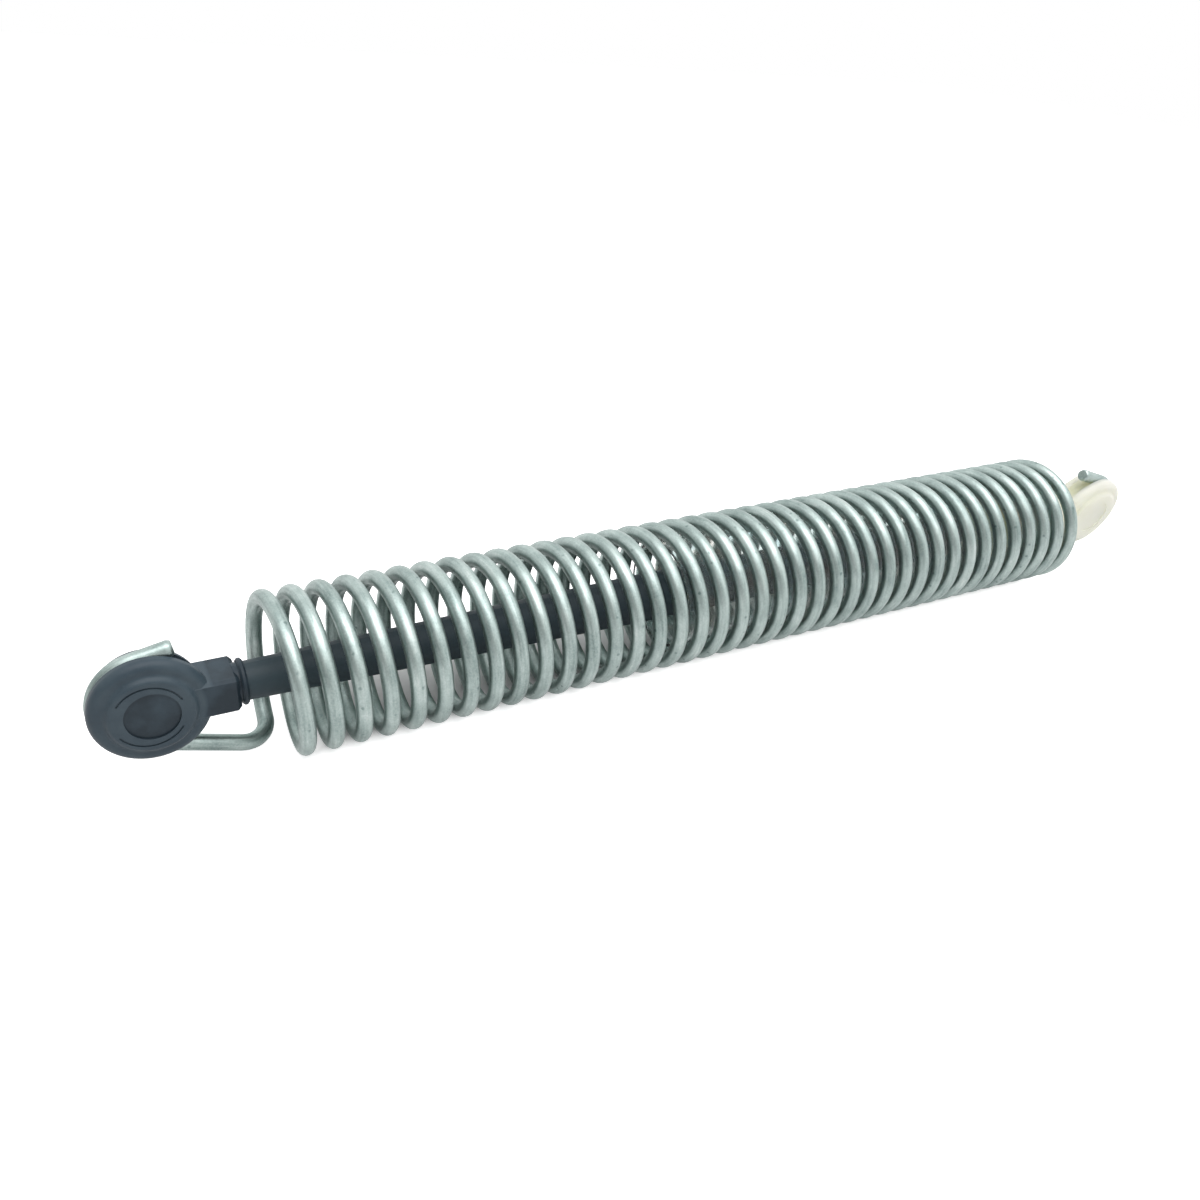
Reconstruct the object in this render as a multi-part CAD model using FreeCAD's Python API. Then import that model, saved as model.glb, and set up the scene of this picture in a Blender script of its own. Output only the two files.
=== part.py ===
import FreeCAD, Part
import math
import os

# Trunk lid tension spring: an open-wound steel coil with a formed hook at each end.
# Each hook lies in the groove of a plastic pivot bush that turns on a pin. A rod on the head's
# bush runs down the middle of the coil into a clear sleeve on the far bush, and slides in it
# as the coil stretches.
# Frame: origin on the head's pin axis in the middle of its groove, +X along the coil to the far
# bush, +Y along the head's pin and out of the mouth of its bore, +Z up. Sizes in millimetres.

# Coil
wire_d = 3.7
coil_mean_d = 34.0
coil_turns = 39
coil_pitch = 6.11
arcs_per_turn = 8
# Hooks: reach from the coil's end to the pin, bend out of the coil, wrap and free tail,
# and the angle by which the far hook stands turned about the coil's axis
head_hook_reach = 23.3
far_hook_reach = 24.0
far_twist_deg = 10.0
hook_bend_r = 6.2
hook_wrap_r = 10.3
head_tail_length = 8.4
head_tail_rise_deg = 12.0
far_tail_length = 12.0
far_tail_rise_deg = 19.0
hook_clearance = 0.25
# Pivot bushes: two flanges, and a boss on the front one that blends softly into it
flange_d = 24.2
flange_front = 4.9
flange_edge_r = 1.9
flange_flat = 0.5
boss_blend_run = 1.8
rear_flange_d = 21.5
rear_edge_r = 2.9
bush_front = 6.0
bush_rear = 5.2
pin_bore_d = 10.0
pin_bore_lead = 0.6
pin_bore_end_wall = 2.4
face_disc_d = 11.0
face_disc_depth = 0.4
# Shallow arc slots in the face of the head's bush, about a centre shifted away from the coil
face_slot_mean_d = 14.1
face_slot_width = 0.4
face_slot_depth = 0.3
face_slot_shift = 0.55
upper_slot_middle_deg = 84.0
upper_slot_span_deg = 123.0
lower_slot_middle_deg = -91.0
lower_slot_span_deg = 118.0
# Neck and collar on the head's bush
neck_width = 10.0
neck_height = 8.4
neck_length = 17.6
neck_edge_chamfer = 0.6
neck_end_chamfer = 0.8
neck_groove_width = 0.4
neck_groove_depth = 0.4
collar_d = 10.3
collar_length = 1.3
collar_chamfer = 0.4
# Guide rod, held by a spigot in the head's neck
rod_root_d = 8.6
rod_full_d = 12.2
rod_taper_length = 96.0
rod_length = 207.6
rod_tip_chamfer = 1.5
spigot_d = 5.0
spigot_length = 9.0
spigot_clearance = 0.05
spigot_end_gap = 0.4
# Guide sleeve, held on a cupped plug of the far bush
sleeve_coil_clearance = 1.15
sleeve_wall = 0.8
sleeve_length = 134.0
sleeve_inset = 4.0
plug_length = 16.0
plug_wall = 1.8
plug_floor = 2.4
plug_clearance = 0.05
plug_lead_chamfer = 0.7
plug_shoulder = 2.0
cone_length = 8.0
cone_small_d = 11.0
cone_large_d = 24.0

ORIGIN = FreeCAD.Vector(0.0, 0.0, 0.0)
X_DIR = FreeCAD.Vector(1.0, 0.0, 0.0)
Y_DIR = FreeCAD.Vector(0.0, 1.0, 0.0)
Z_DIR = FreeCAD.Vector(0.0, 0.0, 1.0)
HALF_TURN = 180.0
FULL_TURN = 360.0
SETTLING_PASSES = range(40)

wire_r = wire_d / 2.0
coil_r = coil_mean_d / 2.0
whole_turns = int(round(coil_turns))
arc_count = whole_turns * int(round(arcs_per_turn))
coil_sweep = 2.0 * math.pi * whole_turns + math.radians(far_twist_deg)
rise_per_radian = coil_pitch / (2.0 * math.pi)
coil_length = coil_sweep * rise_per_radian
pin_distance = head_hook_reach + coil_length + far_hook_reach

flange_r = flange_d / 2.0
rear_flange_r = rear_flange_d / 2.0
groove_r = wire_r + hook_clearance
groove_root_r = hook_wrap_r - groove_r
pin_bore_r = pin_bore_d / 2.0
pin_bore_end = pin_bore_end_wall - bush_front

collar_start = neck_length + neck_groove_width
rod_start = collar_start + collar_length
rod_end = rod_start + rod_length
sleeve_r = coil_r - wire_r - sleeve_coil_clearance
sleeve_bore_r = sleeve_r - sleeve_wall
sleeve_end = head_hook_reach + coil_length - sleeve_inset
sleeve_start = sleeve_end - sleeve_length


def vector(x, y, z):
    return FreeCAD.Vector(x, y, z)


def turned_about_x(profile):
    """Solid of revolution about the coil's axis, from points given as (x, radius)."""
    points = [vector(x, 0.0, radius) for x, radius in profile]
    return Part.Face(Part.makePolygon(points + points[:1])).revolve(ORIGIN, X_DIR, FULL_TURN)


def corner_arc(start, direction_in, direction_out, radius):
    """Arc that turns one direction into another from a start point, and the arc's end point."""
    turn = direction_in.getAngle(direction_out)
    end = start + (direction_in + direction_out) * (radius * math.tan(turn / 2.0))
    inward = direction_out - direction_in * direction_out.dot(direction_in)
    inward.normalize()
    centre = start + inward * radius
    outward = (start - centre) + (end - centre)
    outward.normalize()
    return Part.Arc(start, centre + outward * radius, end).toShape(), end


def on_coil(angle, x):
    """Point on the coil's middle line at an angle from +Y towards +Z."""
    return vector(x, coil_r * math.cos(angle), coil_r * math.sin(angle))


def along_coil(angle, step):
    """Direction of the wire where two of the coil's arcs meet."""
    side = 2.0 * coil_r * math.tan(step / 2.0)
    direction = vector(rise_per_radian * step, -side * math.sin(angle), side * math.cos(angle))
    return direction.normalize()


def hook(reach, tail_length, tail_rise_deg, step):
    """Hook about a pin at the origin, for a coil whose last turn ends below the axis at x = reach.

    The coil is cut back by an angle so that the bend brings the wire into the plane of the groove,
    and the run after the bend rises so that it meets the groove as a tangent.
    """
    cut_back = math.asin(hook_bend_r / coil_r)
    rise = 0.0
    for settling_pass in SETTLING_PASSES:
        start_angle = cut_back - math.pi / 2.0
        leaving = along_coil(start_angle, step) * -1.0
        run = vector(-math.cos(rise), 0.0, math.sin(rise))
        start = on_coil(start_angle, reach + rise_per_radian * cut_back)
        bend, bend_end = corner_arc(start, leaving, run, hook_bend_r)
        setback = hook_bend_r * math.tan(leaving.getAngle(run) / 2.0)
        cut_back = math.asin(-leaving.y * setback / coil_r)
        to_pin = math.atan2(-bend_end.z, bend_end.x)
        rise = to_pin - math.asin(hook_wrap_r / math.hypot(bend_end.x, bend_end.z))
    tail_rise = math.radians(tail_rise_deg)
    middle = math.pi + (tail_rise - rise) / 2.0
    wrap_start = vector(-math.sin(rise), 0.0, -math.cos(rise)) * hook_wrap_r
    wrap_middle = vector(math.cos(middle), 0.0, math.sin(middle)) * hook_wrap_r
    wrap_end = vector(-math.sin(tail_rise), 0.0, math.cos(tail_rise)) * hook_wrap_r
    tail_end = wrap_end + vector(math.cos(tail_rise), 0.0, math.sin(tail_rise)) * tail_length
    edges = [
        Part.LineSegment(tail_end, wrap_end).toShape(),
        Part.Arc(wrap_end, wrap_middle, wrap_start).toShape(),
        Part.LineSegment(wrap_start, bend_end).toShape(),
        bend,
    ]
    return edges, cut_back


def coil_turns_path(first_angle, step, count):
    """The open turns as equal arcs, each tangent to the next, along the coil's middle line."""
    advance = rise_per_radian * step
    half_side = math.hypot(coil_r * math.tan(step / 2.0), advance / 2.0)
    x_offset = head_hook_reach + rise_per_radian * math.pi / 2.0
    edges = []
    for index in range(count):
        angle = first_angle + index * step
        direction_in = along_coil(angle, step)
        direction_out = along_coil(angle + step, step)
        radius = half_side / math.tan(direction_in.getAngle(direction_out) / 2.0)
        start = on_coil(angle, x_offset + rise_per_radian * angle)
        edges.append(corner_arc(start, direction_in, direction_out, radius)[0])
    return edges


def coil_spring():
    """The whole wire in one sweep: head hook, open turns, far hook."""
    step = coil_sweep / arc_count
    for settling_pass in SETTLING_PASSES:
        head_edges, head_cut = hook(head_hook_reach, head_tail_length, head_tail_rise_deg, step)
        far_edges, far_cut = hook(far_hook_reach, far_tail_length, far_tail_rise_deg, step)
        step = (coil_sweep - head_cut - far_cut) / arc_count
    far_turn = FreeCAD.Rotation(X_DIR, far_twist_deg) * FreeCAD.Rotation(Z_DIR, HALF_TURN)
    for edge in far_edges:
        edge.Placement = FreeCAD.Placement(X_DIR * pin_distance, far_turn)
    turns = coil_turns_path(head_cut - math.pi / 2.0, step, arc_count)
    path = Part.Wire(Part.__sortEdges__(head_edges + turns + far_edges))
    tail_end = head_edges[0].Vertexes[0].Point
    tail_direction = head_edges[0].Vertexes[1].Point - tail_end
    section = Part.Wire(Part.makeCircle(wire_r, tail_end, tail_direction))
    return path.makePipeShell([section], True, True)


def bush_body():
    """Two flanges with a round groove between them and a boss in front, about the pin axis."""
    front_corner = flange_r - flange_edge_r
    boss_foot = front_corner - flange_flat
    boss_top = boss_foot - boss_blend_run
    boss_rise = bush_front - flange_front
    blend_slope = 2.0 * math.atan(boss_rise / boss_blend_run)
    blend_r = boss_blend_run / (2.0 * math.sin(blend_slope))
    blend_x = blend_r * math.sin(blend_slope / 2.0)
    blend_y = blend_r * (1.0 - math.cos(blend_slope / 2.0))
    blend_middle_y = -bush_front + boss_rise / 2.0
    front_round = flange_edge_r * math.sqrt(0.5)
    front_round_y = flange_edge_r - flange_front
    rear_corner = rear_flange_r - rear_edge_r
    rear_round = rear_edge_r * math.sqrt(0.5)
    rear_round_y = bush_rear - rear_edge_r
    points = {
        "front_centre": vector(0.0, -bush_front, 0.0),
        "boss_top": vector(boss_top, -bush_front, 0.0),
        "boss_upper_blend": vector(boss_top + blend_x, -bush_front + blend_y, 0.0),
        "boss_middle": vector((boss_top + boss_foot) / 2.0, blend_middle_y, 0.0),
        "boss_lower_blend": vector(boss_foot - blend_x, -flange_front - blend_y, 0.0),
        "boss_foot": vector(boss_foot, -flange_front, 0.0),
        "front_rim": vector(front_corner, -flange_front, 0.0),
        "front_round": vector(front_corner + front_round, front_round_y - front_round, 0.0),
        "rim": vector(flange_r, front_round_y, 0.0),
        "front_wall_top": vector(flange_r, -groove_r, 0.0),
        "front_wall_foot": vector(hook_wrap_r, -groove_r, 0.0),
        "groove_root": vector(groove_root_r, 0.0, 0.0),
        "rear_wall_foot": vector(hook_wrap_r, groove_r, 0.0),
        "rear_wall_top": vector(rear_flange_r, groove_r, 0.0),
        "rear_rim": vector(rear_flange_r, rear_round_y, 0.0),
        "rear_round": vector(rear_corner + rear_round, rear_round_y + rear_round, 0.0),
        "rear_edge": vector(rear_corner, bush_rear, 0.0),
        "rear_centre": vector(0.0, bush_rear, 0.0),
    }

    def line(start, end):
        return Part.LineSegment(points[start], points[end]).toShape()

    def arc(start, middle, end):
        return Part.Arc(points[start], points[middle], points[end]).toShape()

    outline = Part.Wire([
        line("front_centre", "boss_top"),
        arc("boss_top", "boss_upper_blend", "boss_middle"),
        arc("boss_middle", "boss_lower_blend", "boss_foot"),
        line("boss_foot", "front_rim"),
        arc("front_rim", "front_round", "rim"),
        line("rim", "front_wall_top"),
        line("front_wall_top", "front_wall_foot"),
        arc("front_wall_foot", "groove_root", "rear_wall_foot"),
        line("rear_wall_foot", "rear_wall_top"),
        line("rear_wall_top", "rear_rim"),
        arc("rear_rim", "rear_round", "rear_edge"),
        line("rear_edge", "rear_centre"),
        line("rear_centre", "front_centre"),
    ])
    return Part.Face(outline).revolve(ORIGIN, Y_DIR, FULL_TURN)


def face_slot(middle_deg, span_deg):
    """Thin arc slot in the face of the head's bush."""
    inner = (face_slot_mean_d - face_slot_width) / 2.0
    outer = (face_slot_mean_d + face_slot_width) / 2.0
    floor = face_slot_depth - bush_front
    outside = -bush_front - face_slot_depth
    corners = [(inner, outside), (outer, outside), (outer, floor), (inner, floor), (inner, outside)]
    face = Part.Face(Part.makePolygon([vector(x, y, 0.0) for x, y in corners]))
    slot = face.revolve(ORIGIN, Y_DIR, span_deg)
    slot.rotate(ORIGIN, Y_DIR, -middle_deg - span_deg / 2.0)
    slot.translate(X_DIR * -face_slot_shift)
    return slot


def bush_cuts():
    """What is cut from either bush: the blind pin bore with its lead, and the face disc."""
    bore = Part.makeCylinder(pin_bore_r, bush_rear - pin_bore_end, Y_DIR * pin_bore_end, Y_DIR)
    lead_start = Y_DIR * (bush_rear - pin_bore_lead)
    lead = Part.makeCone(pin_bore_r, pin_bore_r + pin_bore_lead, pin_bore_lead, lead_start, Y_DIR)
    disc = Part.makeCylinder(face_disc_d / 2.0, face_disc_depth, Y_DIR * -bush_front, Y_DIR)
    return [bore, lead, disc]


def neck(length):
    """Oblong neck from the pin axis along +X, with chamfered long edges and end."""
    corner = vector(0.0, -neck_width / 2.0, -neck_height / 2.0)
    block = Part.makeBox(length, neck_width, neck_height, corner)
    long_edges = [edge for edge in block.Edges if edge.BoundBox.XLength > length / 2.0]
    block = block.makeChamfer(neck_edge_chamfer, long_edges)
    end_edges = [edge for edge in block.Edges if edge.BoundBox.XMin > length / 2.0]
    return block.makeChamfer(neck_end_chamfer, end_edges)


def pivot_head():
    """Head's bush with its neck, collar and socket for the rod."""
    collar_r = collar_d / 2.0
    core_r = collar_r - collar_chamfer - neck_groove_depth
    collar = turned_about_x([
        (neck_length - neck_end_chamfer, 0.0),
        (neck_length - neck_end_chamfer, core_r),
        (collar_start, core_r),
        (collar_start, collar_r - collar_chamfer),
        (collar_start + collar_chamfer, collar_r),
        (rod_start - collar_chamfer, collar_r),
        (rod_start, collar_r - collar_chamfer),
        (rod_start, 0.0),
    ])
    socket_length = spigot_length + spigot_end_gap
    socket_r = spigot_d / 2.0 + spigot_clearance
    socket = Part.makeCylinder(socket_r, socket_length, X_DIR * rod_start, X_DIR * -1.0)
    upper_slot = face_slot(upper_slot_middle_deg, upper_slot_span_deg)
    lower_slot = face_slot(lower_slot_middle_deg, lower_slot_span_deg)
    solid = bush_body().fuse([neck(neck_length), collar]).removeSplitter()
    return solid.cut(bush_cuts() + [socket, upper_slot, lower_slot])


def guide_rod():
    """Rod with a slow taper, a chamfered tip and the spigot that holds it."""
    return turned_about_x([
        (rod_start - spigot_length, 0.0),
        (rod_start - spigot_length, spigot_d / 2.0),
        (rod_start, spigot_d / 2.0),
        (rod_start, rod_root_d / 2.0),
        (rod_start + rod_taper_length, rod_full_d / 2.0),
        (rod_end - rod_tip_chamfer, rod_full_d / 2.0),
        (rod_end, rod_full_d / 2.0 - rod_tip_chamfer),
        (rod_end, 0.0),
    ])


def guide_sleeve():
    """Clear tube inside the coil's far half."""
    return turned_about_x([
        (sleeve_start, sleeve_bore_r),
        (sleeve_start, sleeve_r),
        (sleeve_end, sleeve_r),
        (sleeve_end, sleeve_bore_r),
    ])


def end_bush():
    """Far bush: the same bush turned about, with a neck that widens into the sleeve's plug."""
    shoulder_start = pin_distance - sleeve_end
    shoulder_end = shoulder_start - plug_shoulder
    cone_start = shoulder_end - cone_length
    plug_r = sleeve_bore_r - plug_clearance
    plug_end = shoulder_start + plug_length
    cup_r = plug_r - plug_wall
    plug = turned_about_x([
        (cone_start, 0.0),
        (cone_start, cone_small_d / 2.0),
        (shoulder_end, cone_large_d / 2.0),
        (shoulder_end, sleeve_r),
        (shoulder_start, sleeve_r),
        (shoulder_start, plug_r),
        (plug_end - plug_lead_chamfer, plug_r),
        (plug_end, plug_r - plug_lead_chamfer),
        (plug_end, cup_r),
        (shoulder_end + plug_floor, cup_r),
        (shoulder_end + plug_floor, 0.0),
    ])
    plug_and_neck = plug.fuse(neck(shoulder_end)).removeSplitter()
    plug_and_neck.rotate(ORIGIN, Z_DIR, HALF_TURN)
    solid = bush_body().fuse(plug_and_neck).removeSplitter().cut(bush_cuts())
    solid.rotate(ORIGIN, X_DIR, far_twist_deg)
    solid.translate(X_DIR * pin_distance)
    return solid


os.makedirs("parts", exist_ok=True)
pieces = {
    "coil_spring": coil_spring(),
    "pivot_head": pivot_head(),
    "guide_rod": guide_rod(),
    "guide_sleeve": guide_sleeve(),
    "end_bush": end_bush(),
}
for name, shape in pieces.items():
    solid = shape.Solids[0]
    solid.exportStep("parts/" + name + ".step")
    print(name, len(shape.Solids), solid.isValid(), round(solid.Volume, 1))
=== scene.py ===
import math
import bpy
import numpy as np
from mathutils import Matrix, Vector


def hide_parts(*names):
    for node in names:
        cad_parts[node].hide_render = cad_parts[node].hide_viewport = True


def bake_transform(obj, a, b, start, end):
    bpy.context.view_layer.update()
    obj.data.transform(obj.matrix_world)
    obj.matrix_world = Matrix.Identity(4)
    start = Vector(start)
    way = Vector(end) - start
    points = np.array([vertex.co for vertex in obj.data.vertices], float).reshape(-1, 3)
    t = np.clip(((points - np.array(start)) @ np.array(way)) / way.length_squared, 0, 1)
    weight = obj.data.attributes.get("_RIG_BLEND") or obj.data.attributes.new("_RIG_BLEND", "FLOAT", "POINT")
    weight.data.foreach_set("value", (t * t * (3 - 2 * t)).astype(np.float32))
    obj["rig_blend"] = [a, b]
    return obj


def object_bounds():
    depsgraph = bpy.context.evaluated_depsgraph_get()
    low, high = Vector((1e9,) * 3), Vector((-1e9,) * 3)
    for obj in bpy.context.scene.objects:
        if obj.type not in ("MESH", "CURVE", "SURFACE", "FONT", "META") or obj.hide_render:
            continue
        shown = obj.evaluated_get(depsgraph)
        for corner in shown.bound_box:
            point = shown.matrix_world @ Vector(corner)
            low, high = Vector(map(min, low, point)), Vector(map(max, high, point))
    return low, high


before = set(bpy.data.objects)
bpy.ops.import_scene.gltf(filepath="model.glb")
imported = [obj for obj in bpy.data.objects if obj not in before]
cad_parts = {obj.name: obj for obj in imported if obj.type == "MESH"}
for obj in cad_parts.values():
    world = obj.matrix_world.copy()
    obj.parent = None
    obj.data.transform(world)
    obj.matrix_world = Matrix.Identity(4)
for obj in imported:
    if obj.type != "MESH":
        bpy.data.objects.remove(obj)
cad_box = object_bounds()

# Sizes are in metres, in the part's own frame: the head's pin at the origin, +X along the coil.
# The wire, its coil and its hooks; a tail is its length and its rise
WIRE_RADIUS = 0.00185
COIL_RADIUS = 0.017
COIL_TURNS = 39
COIL_PITCH = 0.00611
HEAD_REACH = 0.0233
FAR_REACH = 0.024
FAR_TWIST = math.radians(10.0)
BEND_RADIUS = 0.0062
WRAP_RADIUS = 0.0103
HEAD_TAIL = (0.0084, math.radians(12.0))
FAR_TAIL = (0.012, math.radians(19.0))
WIRE_END_CHAMFER = 0.00035
RISE_PER_RADIAN = COIL_PITCH / (2.0 * math.pi)
COIL_SWEEP = 2.0 * math.pi * COIL_TURNS + FAR_TWIST
COIL_LENGTH = COIL_SWEEP * RISE_PER_RADIAN
PIN_DISTANCE = HEAD_REACH + COIL_LENGTH + FAR_REACH

# How finely the wire is divided, and how often a hook's angles are worked out anew
RINGS_PER_TURN = 60
RING_SEGMENTS = 20
HOOK_RING_STEP = 0.0009
SETTLING_PASSES = 40

# Painted shade on the head: darker on the floor of its recessed face disc, and on its neck from the flange's
# rim on
DISC_RADIUS = 0.0055
DISC_DEPTH = -0.0052
DISC_PAINTED_SHADE = 0.36
NECK_START = 0.0122
NECK_BLEND = 0.0008
NECK_PAINTED_SHADE = 0.38
NECK_FACE = -0.00495
NECK_RIM_OVERLAP = 0.0021

# Finishes: colours at places on the noise's scale, and roughness over its usual span
NOISE_SPAN = (0.3, 0.7)
EVEN = (1.0, 1.0, 1.0)
ZINC_TONES = (
    (0.32, (0.16, 0.215, 0.205)),
    (0.44, (0.285, 0.355, 0.34)),
    (0.55, (0.395, 0.475, 0.455)),
    (0.68, (0.56, 0.62, 0.60)),
)
ZINC_ROUGHNESS = (0.50, 0.35)
PIT_FLOOR_SHARE = 0.4
HEAD_TONES = (
    (0.1, (0.018, 0.030, 0.040)),
    (0.35, (0.039, 0.061, 0.078)),
    (0.68, (0.060, 0.087, 0.104)),
)
ROD_TONES = (
    (0.1, (0.026, 0.043, 0.051)),
    (0.35, (0.031, 0.050, 0.060)),
    (0.68, (0.038, 0.060, 0.071)),
)
ALONG_ROD = (0.12, 1.0, 1.0)
BLACK_ROUGHNESS = (0.40, 0.52)
SLEEVE_TONES = (
    (0.36, (0.73, 0.85, 0.86)),
    (0.5, (0.79, 0.87, 0.86)),
    (0.64, (0.88, 0.84, 0.80)),
)
SLEEVE_ROUGHNESS = (0.06, 0.12)
CREAM_TONES = (
    (0.3, (0.80, 0.82, 0.66)),
    (0.7, (0.84, 0.86, 0.72)),
)
CREAM_ROUGHNESS = (0.36, 0.50)

# Camera, from the photograph: one unit is the coil's mean radius, turned about the coil's axis
HEAD_X = -0.0312 / COIL_RADIUS
ROLL = math.radians(10.0)
YAW = 0.49863796
PITCH = 0.38662555
CAMERA_UNITS = (-2.33104648, -12.36023633, 5.83273869)
FOCAL_SHARE = 1028.427 / 1200.0
SENSOR_MM = 36.0
CLIP_START = 0.01

# Light: one wide soft lamp above, in a pale room that is darker at the front left
LAMP_DIRECTION = (0.05, -0.42, 0.85)
LAMP_DISTANCE = 0.9
LAMP_SIZE = (1.2, 0.9)
LAMP_WATTS = 8.3
LAMP_COLOUR = (1.0, 0.95, 0.96)
WHITE = (1.0, 1.0, 1.0, 1.0)
ROOM_LIGHT = 0.5
ROOM_IN_GLOSS = 1.0
BRIGHT_SIDE = (0.75, 0.35, 0.55)
ROOM_FACING = (-0.8, 0.25)
ROOM_SHADES = (0.26, 1.35)

# Floor: its glow makes it white, and fades out in a strip under the coil; the strip is painted shadow, on
# top of the real shadow the floor keeps there
FLOOR_HALF = 2.0
FLOOR_COLOUR = (0.8, 0.8, 0.8, 1.0)
FLOOR_GLOW = (0.0, 0.9)
FLOOR_FRONT_FADE = (-0.002, -0.0095)
FLOOR_BACK_FADE = (0.0205, 0.0385)
FLOOR_END_FADE = 0.018
GLOSSY_SHARE = 0.3


def unit(vector):
    return vector / np.linalg.norm(vector)


def corner_arc(start, direction_in, direction_out, radius):
    """Points of the arc that turns one direction into another, evenly spaced, and its angle."""
    turn = math.acos(float(np.clip(direction_in @ direction_out, -1.0, 1.0)))
    inward = unit(direction_out - direction_in * (direction_out @ direction_in))
    centre = start + inward * radius
    count = math.ceil(radius * turn / HOOK_RING_STEP) + 1
    angle = np.linspace(0.0, turn, count)[:, None]
    points = centre - inward * radius * np.cos(angle) + direction_in * radius * np.sin(angle)
    return points, turn


def straight(start, end):
    """Points of a straight run, without its first one."""
    count = math.ceil(float(np.linalg.norm(end - start)) / HOOK_RING_STEP) + 1
    return start + (end - start) * np.linspace(0.0, 1.0, count)[1:, None]


def coil_points(angles, x_offset):
    """Points on the coil's middle line at angles from +Y towards +Z."""
    x = x_offset + RISE_PER_RADIAN * angles
    return np.stack((x, COIL_RADIUS * np.cos(angles), COIL_RADIUS * np.sin(angles)), axis=1)


def hook_path(reach, tail):
    """Middle line of a hook about a pin at the origin, from the coil's end to the tail's end.

    It also gives the angle by which the coil is cut back for the bend out of it.
    """
    tail_length, tail_rise = tail
    cut_back = math.asin(BEND_RADIUS / COIL_RADIUS)
    rise = 0.0
    for settling_pass in range(SETTLING_PASSES):
        angle = cut_back - math.pi / 2.0
        slope = (RISE_PER_RADIAN, -COIL_RADIUS * math.sin(angle), COIL_RADIUS * math.cos(angle))
        leaving = -unit(np.array(slope))
        run = np.array((-math.cos(rise), 0.0, math.sin(rise)))
        start = coil_points(np.array([angle]), reach + RISE_PER_RADIAN * math.pi / 2.0)[0]
        bend, turn = corner_arc(start, leaving, run, BEND_RADIUS)
        cut_back = math.asin(-leaving[1] * BEND_RADIUS * math.tan(turn / 2.0) / COIL_RADIUS)
        end = bend[-1]
        from_pin = math.hypot(end[0], end[2])
        rise = math.atan2(-end[2], end[0]) - math.asin(WRAP_RADIUS / from_pin)
    first_angle = -math.pi / 2.0 - rise
    last_angle = tail_rise - 3.0 * math.pi / 2.0
    count = math.ceil(WRAP_RADIUS * (first_angle - last_angle) / HOOK_RING_STEP) + 1
    angles = np.linspace(first_angle, last_angle, count)
    wrap = np.stack((np.cos(angles), np.zeros(count), np.sin(angles)), axis=1) * WRAP_RADIUS
    tail_direction = np.array((math.cos(tail_rise), 0.0, math.sin(tail_rise)))
    tail_end = wrap[-1] + tail_direction * tail_length
    path = np.concatenate((bend, straight(end, wrap[0]), wrap[1:], straight(wrap[-1], tail_end)))
    return path, cut_back


def wire_path():
    """Middle line of the wire from tail to tail, and how far each point follows the far pin."""
    head, head_cut = hook_path(HEAD_REACH, HEAD_TAIL)
    far, far_cut = hook_path(FAR_REACH, FAR_TAIL)
    first = head_cut - math.pi / 2.0
    last = COIL_SWEEP - math.pi / 2.0 - far_cut
    count = round((last - first) / (2.0 * math.pi) * RINGS_PER_TURN)
    angles = np.linspace(first, last, count)
    turns = coil_points(angles, HEAD_REACH + RISE_PER_RADIAN * math.pi / 2.0)
    far_turn = Matrix.Rotation(FAR_TWIST, 3, "X") @ Matrix.Rotation(math.pi, 3, "Z")
    far = far @ np.array(far_turn).T + np.array((PIN_DISTANCE, 0.0, 0.0))
    path = np.concatenate((head[::-1], turns[1:-1], far))
    share = np.linspace(0.0, 1.0, count)[1:-1]
    follow = np.concatenate((np.zeros(len(head)), share, np.ones(len(far))))
    return path, follow


def ring_frames(path):
    """Two directions across the wire at each point, carried along it without twist."""
    along = np.gradient(path, axis=0)
    along /= np.linalg.norm(along, axis=1)[:, None]
    side = unit(np.cross(along[0], (0.0, 1.0, 0.0)))
    sides = []
    for tangent in along:
        side = unit(side - tangent * (side @ tangent))
        sides.append(side)
    sides = np.array(sides)
    return sides, np.cross(along, sides)


def wire_mesh():
    """The wire as one closed tube with chamfered ends, and how far each vertex follows the far pin.

    Its attribute wire_place is a place across and along the wire, for the finish.
    """
    path, follow = wire_path()
    steps = np.linalg.norm(np.diff(path, axis=0), axis=1)
    lengths = np.concatenate(([0.0], np.cumsum(steps)))
    sides, ups = ring_frames(path)
    radii = np.full(len(path), WIRE_RADIUS)
    radii[[0, -1]] -= WIRE_END_CHAMFER
    round_angles = np.linspace(0.0, 2.0 * math.pi, RING_SEGMENTS, endpoint=False)
    cosines = np.cos(round_angles)[None, :, None]
    sines = np.sin(round_angles)[None, :, None]
    across = (sides[:, None, :] * cosines + ups[:, None, :] * sines) * radii[:, None, None]
    points = (path[:, None, :] + across).reshape(-1, 3)
    place = np.empty((len(path), RING_SEGMENTS, 3))
    place[:, :, 0] = radii[:, None] * cosines[:, :, 0]
    place[:, :, 1] = radii[:, None] * sines[:, :, 0]
    place[:, :, 2] = lengths[:, None]
    rings = np.arange(len(path) * RING_SEGMENTS).reshape(len(path), RING_SEGMENTS)
    here, after = rings[:-1], rings[1:]
    quads = np.stack((here, np.roll(here, -1, 1), np.roll(after, -1, 1), after), axis=2)
    quads = quads.reshape(-1, 4).tolist()
    ends = [rings[0][::-1].tolist(), rings[-1].tolist()]
    mesh = bpy.data.meshes.new("coil_wire")
    mesh.from_pydata(points.tolist(), [], quads + ends)
    mesh.polygons.foreach_set("use_smooth", [True] * len(quads) + [False] * len(ends))
    spot = mesh.attributes.new("wire_place", "FLOAT_VECTOR", "POINT")
    spot.data.foreach_set("vector", place.astype(np.float32).ravel())
    mesh.update()
    return mesh, np.repeat(follow, RING_SEGMENTS)


def set_input(tree, socket, value):
    """Sets a socket to a value, or links it from another socket."""
    if isinstance(value, bpy.types.NodeSocket):
        tree.links.new(value, socket)
    else:
        socket.default_value = value


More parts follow.
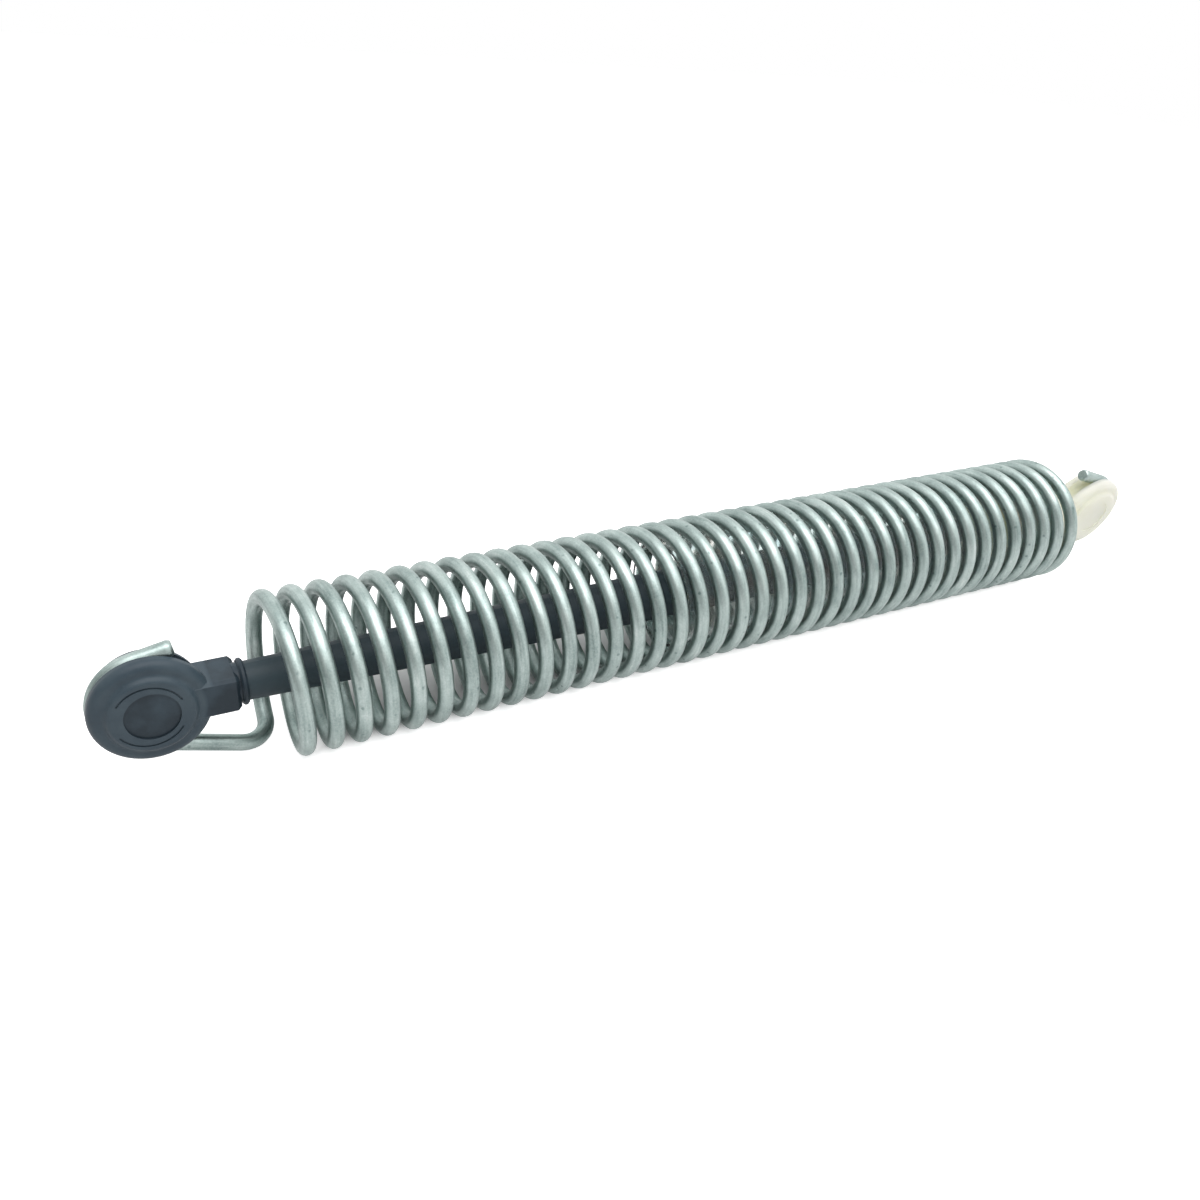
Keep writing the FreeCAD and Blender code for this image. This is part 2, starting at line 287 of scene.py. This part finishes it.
def add_node(tree, kind, inputs=None, **settings):
    """New shader node with its settings, and inputs given as values or as sockets to link from."""
    node = tree.nodes.new(kind)
    for name, value in settings.items():
        setattr(node, name, value)
    for name, value in (inputs or {}).items():
        set_input(tree, node.inputs[name], value)
    return node


def new_material(name, constants):
    """Material with a Principled shader, whose constant values are set on its own sockets."""
    material = bpy.data.materials.new(name)
    material.use_nodes = True
    shader = material.node_tree.nodes["Principled BSDF"]
    for socket, value in constants.items():
        shader.inputs[socket].default_value = value
    return material, material.node_tree, shader


def link_finish(tree, shader, colour, roughness, normal):
    """Links a finish's varying colour, roughness and bump to its shader."""
    tree.links.new(colour, shader.inputs["Base Color"])
    tree.links.new(roughness, shader.inputs["Roughness"])
    tree.links.new(normal, shader.inputs["Normal"])


def object_place(tree):
    return add_node(tree, "ShaderNodeTexCoord").outputs["Object"]


def math_node(tree, operation, first, second):
    node = add_node(tree, "ShaderNodeMath", operation=operation)
    for socket, value in zip(node.inputs, (first, second)):
        set_input(tree, socket, value)
    return node.outputs[0]


def weighted_sum(tree, *terms):
    """Sum of (value, weight) terms."""
    products = [math_node(tree, "MULTIPLY", value, weight) for value, weight in terms]
    total = products[0]
    for product in products[1:]:
        total = math_node(tree, "ADD", total, product)
    return total


def map_range(tree, value, low, high, to_low, to_high, interpolation="LINEAR"):
    inputs = {"Value": value, "From Min": low, "From Max": high, "To Min": to_low, "To Max": to_high}
    node = add_node(tree, "ShaderNodeMapRange", inputs, interpolation_type=interpolation)
    return node.outputs[0]


def noise(tree, place, scale, detail, roughness=0.5, stretch=EVEN):
    """Noise value over a place in metres, stretched along an axis by a small factor for it."""
    mapped = add_node(tree, "ShaderNodeMapping", {"Vector": place, "Scale": stretch})
    inputs = {"Vector": mapped.outputs[0], "Scale": scale, "Detail": detail, "Roughness": roughness}
    return add_node(tree, "ShaderNodeTexNoise", inputs).outputs[0]


def ramp(tree, value, stops):
    """Colour ramp over a value, from (position, colour) stops."""
    node = add_node(tree, "ShaderNodeValToRGB", {"Fac": value})
    elements = node.color_ramp.elements
    for index, (position, colour) in enumerate(stops):
        element = elements[index] if index < len(elements) else elements.new(position)
        element.position = position
        element.color = (*colour, 1.0)
    return node.outputs[0]


def bump(tree, height, distance, strength):
    inputs = {"Height": height, "Distance": distance, "Strength": strength}
    return add_node(tree, "ShaderNodeBump", inputs).outputs[0]


def pits(tree, place, cell_scale, share, radius):
    """One inside small round pits, zero elsewhere: a share of the cells of a grid has one each."""
    cells = add_node(tree, "ShaderNodeTexVoronoi", {"Vector": place, "Scale": cell_scale})
    random_colour = {"Color": cells.outputs["Color"]}
    chosen = add_node(tree, "ShaderNodeSeparateColor", random_colour).outputs[0]
    floor_radius = radius * PIT_FLOOR_SHARE
    inside = map_range(tree, cells.outputs["Distance"], radius, floor_radius, 0.0, 1.0)
    return math_node(tree, "MULTIPLY", inside, math_node(tree, "LESS_THAN", chosen, share))


def zinc_wire_material():
    """Satin zinc plating: cloudy tone, fine drawing marks along the wire and small dark pits."""
    material, tree, shader = new_material("zinc_plated_wire", {"Metallic": 1.0})
    place = add_node(tree, "ShaderNodeAttribute", attribute_name="wire_place").outputs["Vector"]
    clouds = noise(tree, place, scale=170.0, detail=6.0, roughness=0.7, stretch=(1.0, 1.0, 0.6))
    marks = noise(tree, place, scale=1600.0, detail=3.0, roughness=0.55, stretch=(1.0, 1.0, 0.06))
    grain = noise(tree, place, scale=2400.0, detail=2.0)
    spots = pits(tree, place, cell_scale=420.0, share=0.3, radius=0.22)
    tone = weighted_sum(tree, (clouds, 0.55), (marks, 0.28), (grain, 0.17), (spots, -0.14))
    height = weighted_sum(tree, (marks, 0.6), (grain, 0.4), (spots, -1.0))
    link_finish(
        tree, shader,
        colour=ramp(tree, tone, ZINC_TONES),
        roughness=map_range(tree, tone, *NOISE_SPAN, *ZINC_ROUGHNESS),
        normal=bump(tree, height, distance=0.00006, strength=0.35),
    )
    return material


def painted_head_shade(tree, place):
    """How much painted shade darkens the head on the floor of its recessed face disc and along its neck.

    The neck's front face starts where the flange's rounded rim falls away from it.
    """
    from_pin = add_node(tree, "ShaderNodeMapping", {"Vector": place, "Scale": (1.0, 0.0, 1.0)})
    length = add_node(tree, "ShaderNodeVectorMath", {0: from_pin.outputs[0]}, operation="LENGTH")
    away = length.outputs["Value"]
    depth = add_node(tree, "ShaderNodeSeparateXYZ", {"Vector": place}).outputs["Y"]
    in_disc = math_node(tree, "LESS_THAN", away, DISC_RADIUS)
    disc = math_node(tree, "MULTIPLY", in_disc, math_node(tree, "LESS_THAN", depth, DISC_DEPTH))
    on_face = math_node(tree, "LESS_THAN", depth, NECK_FACE)
    overlap = math_node(tree, "MULTIPLY", on_face, NECK_RIM_OVERLAP)
    reach = math_node(tree, "ADD", away, overlap)
    neck = map_range(tree, reach, NECK_START, NECK_START + NECK_BLEND, 0.0, NECK_PAINTED_SHADE)
    return math_node(tree, "MAXIMUM", math_node(tree, "MULTIPLY", disc, DISC_PAINTED_SHADE), neck)


def black_plastic_material(name, tones, stretch, shade=None):
    """Satin moulded plastic: faint flow clouds, a fine moulded grain and any painted shade given to it."""
    material, tree, shader = new_material(name, {"Specular IOR Level": 0.25})
    place = object_place(tree)
    clouds = noise(tree, place, scale=120.0, detail=4.0, roughness=0.55, stretch=stretch)
    grain = noise(tree, place, scale=3800.0, detail=2.0)
    # shade, when given, is painted shade: a darker tone where less light falls
    tone = math_node(tree, "SUBTRACT", clouds, shade(tree, place)) if shade else clouds
    link_finish(
        tree, shader,
        colour=ramp(tree, tone, tones),
        roughness=map_range(tree, clouds, *NOISE_SPAN, *BLACK_ROUGHNESS),
        normal=bump(tree, grain, distance=0.00004, strength=0.3),
    )
    return material


def clear_sleeve_material():
    """Clear, slightly milky plastic with grey-green and beige patches, and lines along the tube."""
    constants = {"Transmission Weight": 0.9, "IOR": 1.3, "Specular IOR Level": 0.2}
    material, tree, shader = new_material("clear_sleeve", constants)
    place = object_place(tree)
    lines = noise(tree, place, scale=500.0, detail=2.0, stretch=(0.05, 1.0, 1.0))
    clouds = noise(tree, place, scale=130.0, detail=3.0, stretch=(0.7, 1.0, 1.0))
    link_finish(
        tree, shader,
        colour=ramp(tree, clouds, SLEEVE_TONES),
        roughness=map_range(tree, lines, *NOISE_SPAN, *SLEEVE_ROUGHNESS),
        normal=bump(tree, lines, distance=0.00002, strength=0.05),
    )
    return material


def natural_plastic_material():
    """Satin cream plastic: slightly uneven tone, moulded grain and a little depth."""
    constants = {
        "Subsurface Weight": 1.0,
        "Subsurface Scale": 0.009,
        "Subsurface Radius": (1.0, 0.95, 0.85),
        "Specular IOR Level": 0.45,
    }
    material, tree, shader = new_material("natural_plastic", constants)
    place = object_place(tree)
    clouds = noise(tree, place, scale=140.0, detail=4.0, roughness=0.55)
    grain = noise(tree, place, scale=3200.0, detail=2.0)
    link_finish(
        tree, shader,
        colour=ramp(tree, clouds, CREAM_TONES),
        roughness=map_range(tree, clouds, *NOISE_SPAN, *CREAM_ROUGHNESS),
        normal=bump(tree, grain, distance=0.00004, strength=0.3),
    )
    return material


def add_coil():
    """The coil as a tube that stretches evenly between the two pins."""
    mesh, follow = wire_mesh()
    coil = bpy.data.objects.new("coil_wire", mesh)
    bpy.context.collection.objects.link(coil)
    mesh.materials.append(zinc_wire_material())
    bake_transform(coil, "head_side", "far_side",
             start=(HEAD_REACH, 0, 0), end=(PIN_DISTANCE - FAR_REACH, 0, 0))
    mesh.attributes["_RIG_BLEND"].data.foreach_set("value", follow.astype(np.float32))
    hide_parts("coil_spring")


def dress_solids():
    """The moulded pieces keep their solids' shape and get their finish."""
    finishes = {
        # the head's finish carries painted shade on its face disc and along its neck
        "pivot_head": black_plastic_material("black_plastic", HEAD_TONES, EVEN, painted_head_shade),
        "guide_rod": black_plastic_material("rod_plastic", ROD_TONES, ALONG_ROD),
        "guide_sleeve": clear_sleeve_material(),
        "end_bush": natural_plastic_material(),
    }
    for name, material in finishes.items():
        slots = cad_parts[name].data.materials
        slots.clear()
        slots.append(material)


def camera_turn():
    """Turn from the camera's upright frame to the part's frame."""
    return Matrix.Rotation(-ROLL, 3, "X")


def add_camera():
    """Camera where the photograph was taken from."""
    level = math.cos(PITCH)
    forward = Vector((math.sin(YAW) * level, math.cos(YAW) * level, -math.sin(PITCH)))
    right = Vector((math.cos(YAW), -math.sin(YAW), 0.0))
    up = right.cross(forward)
    turn = camera_turn()
    place = Vector(CAMERA_UNITS) - Vector((HEAD_X, 0.0, 0.0))
    basis = Matrix((turn @ right, turn @ up, turn @ -forward)).transposed().to_4x4()
    camera = bpy.data.objects.new("camera", bpy.data.cameras.new("camera"))
    camera.data.sensor_width = SENSOR_MM
    camera.data.lens = SENSOR_MM * FOCAL_SHARE
    camera.data.clip_start = CLIP_START
    camera.matrix_world = Matrix.Translation(turn @ place * COIL_RADIUS) @ basis
    bpy.context.collection.objects.link(camera)
    bpy.context.scene.camera = camera


def seen_directly(tree):
    """One for rays that show the background: from the camera, straight or through the sleeve."""
    path = add_node(tree, "ShaderNodeLightPath").outputs
    return math_node(tree, "MAXIMUM", path["Is Camera Ray"], path["Is Transmission Ray"])


def add_world():
    """Room that shows as white, and lights the part and its reflections from its bright side."""
    world = bpy.data.worlds.new("world")
    world.use_nodes = True
    tree = world.node_tree
    background = tree.nodes["Background"]
    background.inputs["Color"].default_value = WHITE
    direction = add_node(tree, "ShaderNodeTexCoord").outputs["Generated"]
    bright_side = camera_turn() @ Vector(BRIGHT_SIDE).normalized()
    facing = add_node(tree, "ShaderNodeVectorMath", {0: direction, 1: bright_side},
                      operation="DOT_PRODUCT")
    shade = map_range(tree, facing.outputs["Value"], *ROOM_FACING, *ROOM_SHADES)
    glossy = add_node(tree, "ShaderNodeLightPath").outputs["Is Glossy Ray"]
    level = map_range(tree, glossy, 0.0, 1.0, ROOM_LIGHT, ROOM_IN_GLOSS)
    lit = math_node(tree, "MULTIPLY", shade, level)
    strength = math_node(tree, "MAXIMUM", lit, seen_directly(tree))
    tree.links.new(strength, background.inputs["Strength"])
    bpy.context.scene.world = world


def add_lamp():
    """Wide soft lamp above the middle of the part, facing it."""
    lamp = bpy.data.lights.new("key_lamp", "AREA")
    lamp.shape = "RECTANGLE"
    lamp.size, lamp.size_y = LAMP_SIZE
    lamp.energy = LAMP_WATTS
    lamp.color = LAMP_COLOUR
    out = camera_turn() @ Vector(LAMP_DIRECTION).normalized()
    across = out.cross(Vector((1.0, 0.0, 0.0))).normalized()
    basis = Matrix((across.cross(out), across, out)).transposed().to_4x4()
    holder = bpy.data.objects.new("key_lamp", lamp)
    middle = Vector((PIN_DISTANCE / 2.0, 0.0, 0.0))
    holder.matrix_world = Matrix.Translation(middle + out * LAMP_DISTANCE) @ basis
    bpy.context.collection.objects.link(holder)


def floor_glow(tree):
    """Strength of the floor's glow: none under the coil, full away from it; the darker strip it leaves is
    painted shadow.
    """
    place = add_node(tree, "ShaderNodeSeparateXYZ", {"Vector": object_place(tree)}).outputs
    from_middle = math_node(tree, "SUBTRACT", place["X"], PIN_DISTANCE / 2.0)
    along = math_node(tree, "ABSOLUTE", from_middle, 0.0)
    half_coil = COIL_LENGTH / 2.0
    end_fade = (half_coil - FLOOR_END_FADE, half_coil)
    front = map_range(tree, place["Y"], *FLOOR_FRONT_FADE, *FLOOR_GLOW, "SMOOTHSTEP")
    back = map_range(tree, place["Y"], *FLOOR_BACK_FADE, *FLOOR_GLOW, "SMOOTHSTEP")
    ends = map_range(tree, along, *end_fade, *FLOOR_GLOW, "SMOOTHSTEP")
    return math_node(tree, "MAXIMUM", math_node(tree, "MAXIMUM", front, back), ends)


def floor_material():
    """Pale floor that shows as white but for the part's real shadow and a painted shadow strip under the
    coil.

    Gloss and metal show a share of that white, because the photograph's wires are dark below.
    """
    material = bpy.data.materials.new("pale_floor")
    material.use_nodes = True
    tree = material.node_tree
    tree.nodes.remove(tree.nodes["Principled BSDF"])
    plain = add_node(tree, "ShaderNodeBsdfDiffuse", {"Color": FLOOR_COLOUR})
    shaded = add_node(tree, "ShaderNodeBsdfDiffuse", {"Color": FLOOR_COLOUR})
    glow = add_node(tree, "ShaderNodeEmission", {"Color": WHITE, "Strength": floor_glow(tree)})
    white = add_node(tree, "ShaderNodeAddShader", {0: shaded.outputs[0], 1: glow.outputs[0]})
    glossy = add_node(tree, "ShaderNodeLightPath").outputs["Is Glossy Ray"]
    mirrored = math_node(tree, "MULTIPLY", glossy, GLOSSY_SHARE)
    seen = math_node(tree, "MAXIMUM", seen_directly(tree), mirrored)
    mixed = add_node(tree, "ShaderNodeMixShader",
                     {"Fac": seen, 1: plain.outputs[0], 2: white.outputs[0]})
    tree.links.new(mixed.outputs[0], tree.nodes["Material Output"].inputs["Surface"])
    return material


def add_floor():
    """Floor at the level of the part's lowest point."""
    middle = PIN_DISTANCE / 2.0
    left, right = middle - FLOOR_HALF, middle + FLOOR_HALF
    level = cad_box[0][2]
    corners = [
        (left, -FLOOR_HALF, level),
        (right, -FLOOR_HALF, level),
        (right, FLOOR_HALF, level),
        (left, FLOOR_HALF, level),
    ]
    mesh = bpy.data.meshes.new("floor")
    mesh.from_pydata(corners, [], [(0, 1, 2, 3)])
    mesh.materials.append(floor_material())
    floor = bpy.data.objects.new("floor", mesh)
    bpy.context.collection.objects.link(floor)


add_coil()
dress_solids()
add_floor()
add_world()
add_lamp()
add_camera()
bpy.context.scene.view_settings.view_transform = "Standard"
